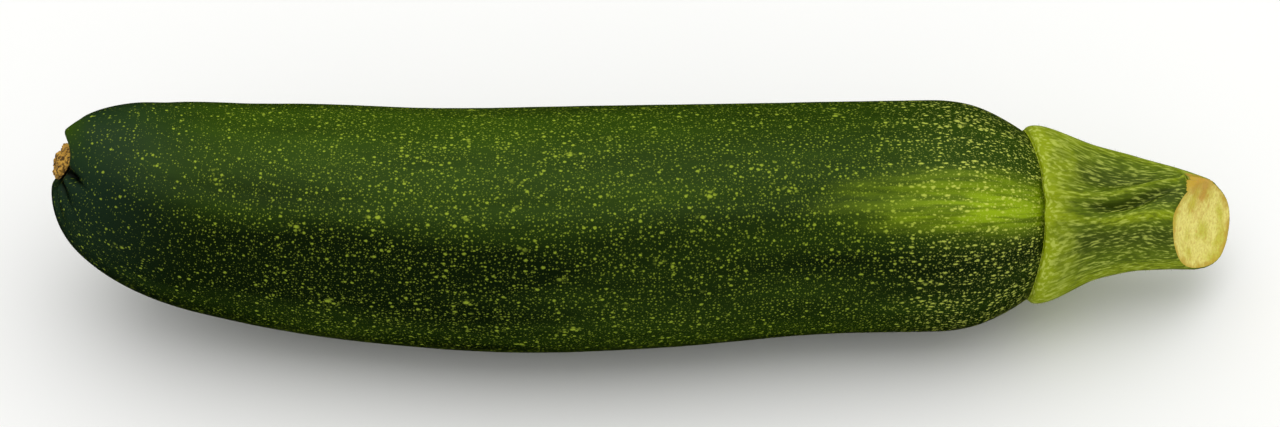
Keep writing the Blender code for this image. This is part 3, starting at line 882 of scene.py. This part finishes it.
def fibre_tree():
    """Raises fine ridges along the stem and grains on its cut, and gives each of them its material."""
    tree, given = new_tree("Stem fibres", ("Fibre height", "Fibre width", "Seed"))
    tree.interface.new_socket("Cut material", in_out="INPUT", socket_type="NodeSocketMaterial")
    straight = add(tree, "GeometryNodeInputNamedAttribute", {"Name": "straight"}, data_type="FLOAT_VECTOR")
    on_cut, share = (add(tree, "GeometryNodeInputNamedAttribute", {"Name": name}, data_type="FLOAT")
                     for name in ("on_cut", "share"))
    fineness = add(tree, "ShaderNodeMath", {0: 1.0, 1: given.outputs["Fibre width"]}, operation="DIVIDE")
    long_place = add(tree, "ShaderNodeVectorMath", {0: straight, 1: (0.1, 1, 1)}, operation="MULTIPLY")
    ridges = add(tree, "ShaderNodeTexNoise", {"Vector": long_place, "W": given.outputs["Seed"],
                                              "Scale": fineness, "Detail": 2.0}, noise_dimensions="4D")
    grains = add(tree, "ShaderNodeTexNoise", {"Vector": add(tree, "GeometryNodeInputPosition"),
                                              "W": given.outputs["Seed"], "Scale": fineness,
                                              "Detail": 3.0}, noise_dimensions="4D")
    relief = add(tree, "ShaderNodeMix", {"Factor": on_cut, "A": ridges, "B": grains})
    relief = add(tree, "ShaderNodeMath", {0: relief, 1: 0.5}, operation="SUBTRACT")
    relief = add(tree, "ShaderNodeMath", {0: relief, 1: given.outputs["Fibre height"]}, operation="MULTIPLY")
    shown = add(tree, "ShaderNodeMath", {0: share, 1: 0.0}, operation="GREATER_THAN")
    relief = add(tree, "ShaderNodeMath", {0: relief, 1: shown}, operation="MULTIPLY")
    moved = moved_outward(tree, given.outputs["Geometry"], relief)
    real = add(tree, "GeometryNodeRealizeInstances", {"Geometry": moved})
    rind = add(tree, "GeometryNodeSetMaterial", {"Geometry": real, "Material": given.outputs["Material"]})
    cut = add(tree, "ShaderNodeMath", {0: on_cut, 1: 0.9}, operation="GREATER_THAN")
    finished = add(tree, "GeometryNodeSetMaterial", {"Geometry": rind, "Selection": cut,
                                                     "Material": given.outputs["Cut material"]})
    add(tree, "NodeGroupOutput", {"Geometry": finished})
    return tree


def bristle_tree():
    """Scatters short leaning bristles over the skin of the stem."""
    tree, given = new_tree("Stem bristles", ("Bristle length", "Bristles per square metre"))
    on_cut, share = (add(tree, "GeometryNodeInputNamedAttribute", {"Name": name}, data_type="FLOAT")
                     for name in ("on_cut", "share"))
    skin = add(tree, "ShaderNodeMath", {0: share, 1: on_cut}, operation="GREATER_THAN")
    points = add(tree, "GeometryNodeDistributePointsOnFaces",
                 {"Mesh": given.outputs["Geometry"], "Selection": skin,
                  "Density": given.outputs["Bristles per square metre"], "Seed": 3})
    bristle = add(tree, "GeometryNodeMeshCone", {"Vertices": 3, "Radius Top": 0.0,
                                                 "Radius Bottom": BRISTLE_RADIUS, "Depth": 1.0})
    lean = add(tree, "FunctionNodeRandomValue", {"Min": (-BRISTLE_LEAN, -BRISTLE_LEAN, 0.0),
                                                 "Max": (BRISTLE_LEAN, BRISTLE_LEAN, 0.0), "Seed": 5},
               data_type="FLOAT_VECTOR")
    turned = add(tree, "FunctionNodeRotateEuler", {"Rotation": points.outputs["Rotation"],
                                                   "Rotate By": lean})
    length = add(tree, "FunctionNodeRandomValue", {"Min": 0.4, "Max": 1.0, "Seed": 7})
    length = add(tree, "ShaderNodeMath", {0: length, 1: given.outputs["Bristle length"]},
                 operation="MULTIPLY")
    placed = add(tree, "GeometryNodeInstanceOnPoints", {"Points": points, "Instance": bristle,
                                                        "Rotation": turned, "Scale": length})
    finish_tree(tree, placed, given.outputs["Material"])
    return tree


def make_scar_mesh():
    """The blossom scar's closed cushion, flat underneath, without its small lumps."""
    turn = np.linspace(0, math.pi / 2, SCAR_STEPS + 1)
    top = -(SCAR_EDGE + (SCAR_HEIGHT - SCAR_EDGE) * np.sin(turn))
    under_radius = np.linspace(0, SCAR_RADIUS, 4)
    along = np.concatenate([np.zeros(4), top])[:, None]
    top_radius = SCAR_RADIUS * np.maximum(np.cos(turn), 0) ** SCAR_SQUARENESS
    radius = np.concatenate([under_radius, top_radius])[:, None]
    angle = np.linspace(0, math.tau, SCAR_SIDES, endpoint=False)[None]
    along, radius, angle = np.broadcast_arrays(along, radius, angle)
    lumps = np.sin(SCAR_LUMPS_ROUND * angle + radius) * np.sin(SCAR_LUMPS_OUT * radius + angle)
    risen = along - SCAR_LUMP * lumps * ease(radius) * (along < 0)
    points = bent(TIP + DIMPLE_DEPTH - GAP + risen, radius, angle)
    return closed_tube("courgette_blossom_scar", points, exposed=(along < 0).astype(float))


def cork_tree():
    """Crumples the scar's surface and scatters crumbs of cork on it."""
    tree, given = new_tree("Cork", ("Lump height", "Seed"))
    exposed = add(tree, "GeometryNodeInputNamedAttribute", {"Name": "exposed"}, data_type="FLOAT")
    noise = add(tree, "ShaderNodeTexNoise", {"Vector": add(tree, "GeometryNodeInputPosition"),
                                             "W": given.outputs["Seed"], "Scale": 1 / (CORK_GRAIN * MM),
                                             "Detail": 3.0}, noise_dimensions="4D")
    relief = add(tree, "ShaderNodeMath", {0: noise, 1: 0.5}, operation="SUBTRACT")
    relief = add(tree, "ShaderNodeMath", {0: relief, 1: given.outputs["Lump height"]}, operation="MULTIPLY")
    relief = add(tree, "ShaderNodeMath", {0: relief, 1: exposed}, operation="MULTIPLY")
    moved = moved_outward(tree, given.outputs["Geometry"], relief)
    points = add(tree, "GeometryNodeDistributePointsOnFaces",
                 {"Mesh": moved, "Selection": exposed, "Density": CRUMB_DENSITY, "Seed": 2})
    crumb = add(tree, "GeometryNodeMeshIcoSphere", {"Radius": CRUMB_RADIUS * MM, "Subdivisions": 1})
    size = add(tree, "FunctionNodeRandomValue", {"Min": (0.4, 0.4, 0.4), "Max": (1.4, 1.4, 1.0), "Seed": 4},
               data_type="FLOAT_VECTOR")
    crumbs = add(tree, "GeometryNodeInstanceOnPoints", {"Points": points, "Instance": crumb,
                                                        "Rotation": points.outputs["Rotation"],
                                                        "Scale": size})
    both = add(tree, "GeometryNodeJoinGeometry", {"Geometry": moved})
    tree.links.new(crumbs.outputs[0], both.inputs[0])
    finish_tree(tree, both, given.outputs["Material"])
    return tree


class COURGETTE_OT_fruit(bpy.types.Operator):
    """Makes the fruit with its ribs, creases and flecked skin"""
    bl_idname = "courgette.fruit"
    bl_label = "Make the fruit"

    def execute(self, context):
        sizes = context.scene.courgette_sizes
        fruit = make_fruit_mesh()
        grow(fruit, rib_tree(), {"Material": waxy_skin(context.scene.courgette_colours),
                                 "Rib height": sizes.rib_height,
                                 "Shoulder rib height": sizes.shoulder_rib_height,
                                 "Ripple height": sizes.ripple_height,
                                 "Ripple length": sizes.ripple_length, "Seed": 4.0})
        settle(fruit, "fruit")
        return {"FINISHED"}


class COURGETTE_OT_stem(bpy.types.Operator):
    """Makes the ribbed stem with its fibres, cut face and bristles"""
    bl_idname = "courgette.stem"
    bl_label = "Make the stem"

    def execute(self, context):
        sizes, colours = context.scene.courgette_sizes, context.scene.courgette_colours
        stem = make_stem_mesh()
        rind = ribbed_rind(colours)
        grow(stem, fibre_tree(), {"Material": rind, "Cut material": moist_flesh(colours),
                                  "Fibre height": sizes.fibre_height, "Fibre width": sizes.fibre_width,
                                  "Seed": 9.0})
        bristles = bpy.data.objects.new("courgette_bristles", stem.data.copy())
        context.scene.collection.objects.link(bristles)
        grow(bristles, bristle_tree(), {"Material": rind, "Bristle length": sizes.bristle_length,
                                        "Bristles per square metre": sizes.bristle_count / CM2})
        for piece in (stem, bristles):
            settle(piece, "stem")
        return {"FINISHED"}


class COURGETTE_OT_scar(bpy.types.Operator):
    """Makes the corky scar where the flower was"""
    bl_idname = "courgette.scar"
    bl_label = "Make the blossom scar"

    def execute(self, context):
        scar = make_scar_mesh()
        grow(scar, cork_tree(), {"Material": dry_cork(context.scene.courgette_colours),
                                 "Lump height": context.scene.courgette_sizes.cork_roughness, "Seed": 1.0})
        settle(scar, "blossom_scar")
        return {"FINISHED"}


class COURGETTE_OT_stage(bpy.types.Operator):
    """Makes the pale table, the overhead softbox and the camera"""
    bl_idname = "courgette.stage"
    bl_label = "Make the stage"

    def execute(self, context):
        scene = context.scene
        half = FLOOR_SIZE / 2
        data = bpy.data.meshes.new("table_top")
        data.from_pydata([(-half, -half, 0), (half, -half, 0), (half, half, 0), (-half, half, 0)], [],
                         [(0, 1, 2, 3)])
        data.materials.append(white_card())
        floor = bpy.data.objects.new("table_top", data)
        floor.visible_glossy = False
        scene.collection.objects.link(floor)

        softbox = bpy.data.lights.new("softbox", "AREA")
        softbox.shape = "RECTANGLE"
        softbox.size, softbox.size_y = SOFTBOX_SIZE
        softbox.energy = SOFTBOX_POWER
        lamp = bpy.data.objects.new("softbox", softbox)
        lamp.location = (0, SOFTBOX_BACK, SOFTBOX_HEIGHT)
        lamp.rotation_euler = (-math.atan2(SOFTBOX_BACK, SOFTBOX_HEIGHT), 0, 0)
        scene.collection.objects.link(lamp)

        room = bpy.data.worlds.new("room")
        scene.world = room
        room.use_nodes = True
        room.node_tree.nodes["Background"].inputs["Color"].default_value = (1, 1, 1, 1)
        room.node_tree.nodes["Background"].inputs["Strength"].default_value = ROOM_LIGHT
        room.cycles_visibility.glossy = False

        elevation = math.radians(CAMERA_ELEVATION)
        back = Vector((0, -math.cos(elevation), math.sin(elevation)))
        camera = bpy.data.cameras.new("camera")
        camera.sensor_width = SENSOR_WIDTH
        camera.lens = CAMERA_LENS
        camera.clip_start = 0.01
        viewer = bpy.data.objects.new("camera", camera)
        viewer.location = Vector(CAMERA_TARGET) + back * CAMERA_DISTANCE
        viewer.rotation_euler = back.to_track_quat("Z", "Y").to_euler()
        scene.collection.objects.link(viewer)
        scene.camera = viewer
        scene.view_settings.view_transform = "Standard"
        return {"FINISHED"}


class COURGETTE_PT_panel(bpy.types.Panel):
    """Lists the courgette's sizes, colours and pieces"""
    bl_idname = "COURGETTE_PT_panel"
    bl_label = "Courgette"
    bl_space_type = "VIEW_3D"
    bl_region_type = "UI"
    bl_category = "Courgette"

    def draw(self, context):
        for group in (context.scene.courgette_sizes, context.scene.courgette_colours):
            box = self.layout.box()
            for name in group.__annotations__:
                box.prop(group, name)
        for operator in PIECES:
            self.layout.operator(operator.bl_idname)


PIECES = (COURGETTE_OT_fruit, COURGETTE_OT_stem, COURGETTE_OT_scar, COURGETTE_OT_stage)
CLASSES = (CourgetteSizes, CourgetteColours, *PIECES, COURGETTE_PT_panel)


def register():
    for made in CLASSES:
        bpy.utils.register_class(made)
    bpy.types.Scene.courgette_sizes = PointerProperty(type=CourgetteSizes)
    bpy.types.Scene.courgette_colours = PointerProperty(type=CourgetteColours)


def unregister():
    del bpy.types.Scene.courgette_sizes
    del bpy.types.Scene.courgette_colours
    for made in reversed(CLASSES):
        bpy.utils.unregister_class(made)


def main():
    register()
    bpy.ops.courgette.fruit()
    bpy.ops.courgette.stem()
    bpy.ops.courgette.scar()
    bpy.ops.courgette.stage()


if __name__ == "__main__":
    main()
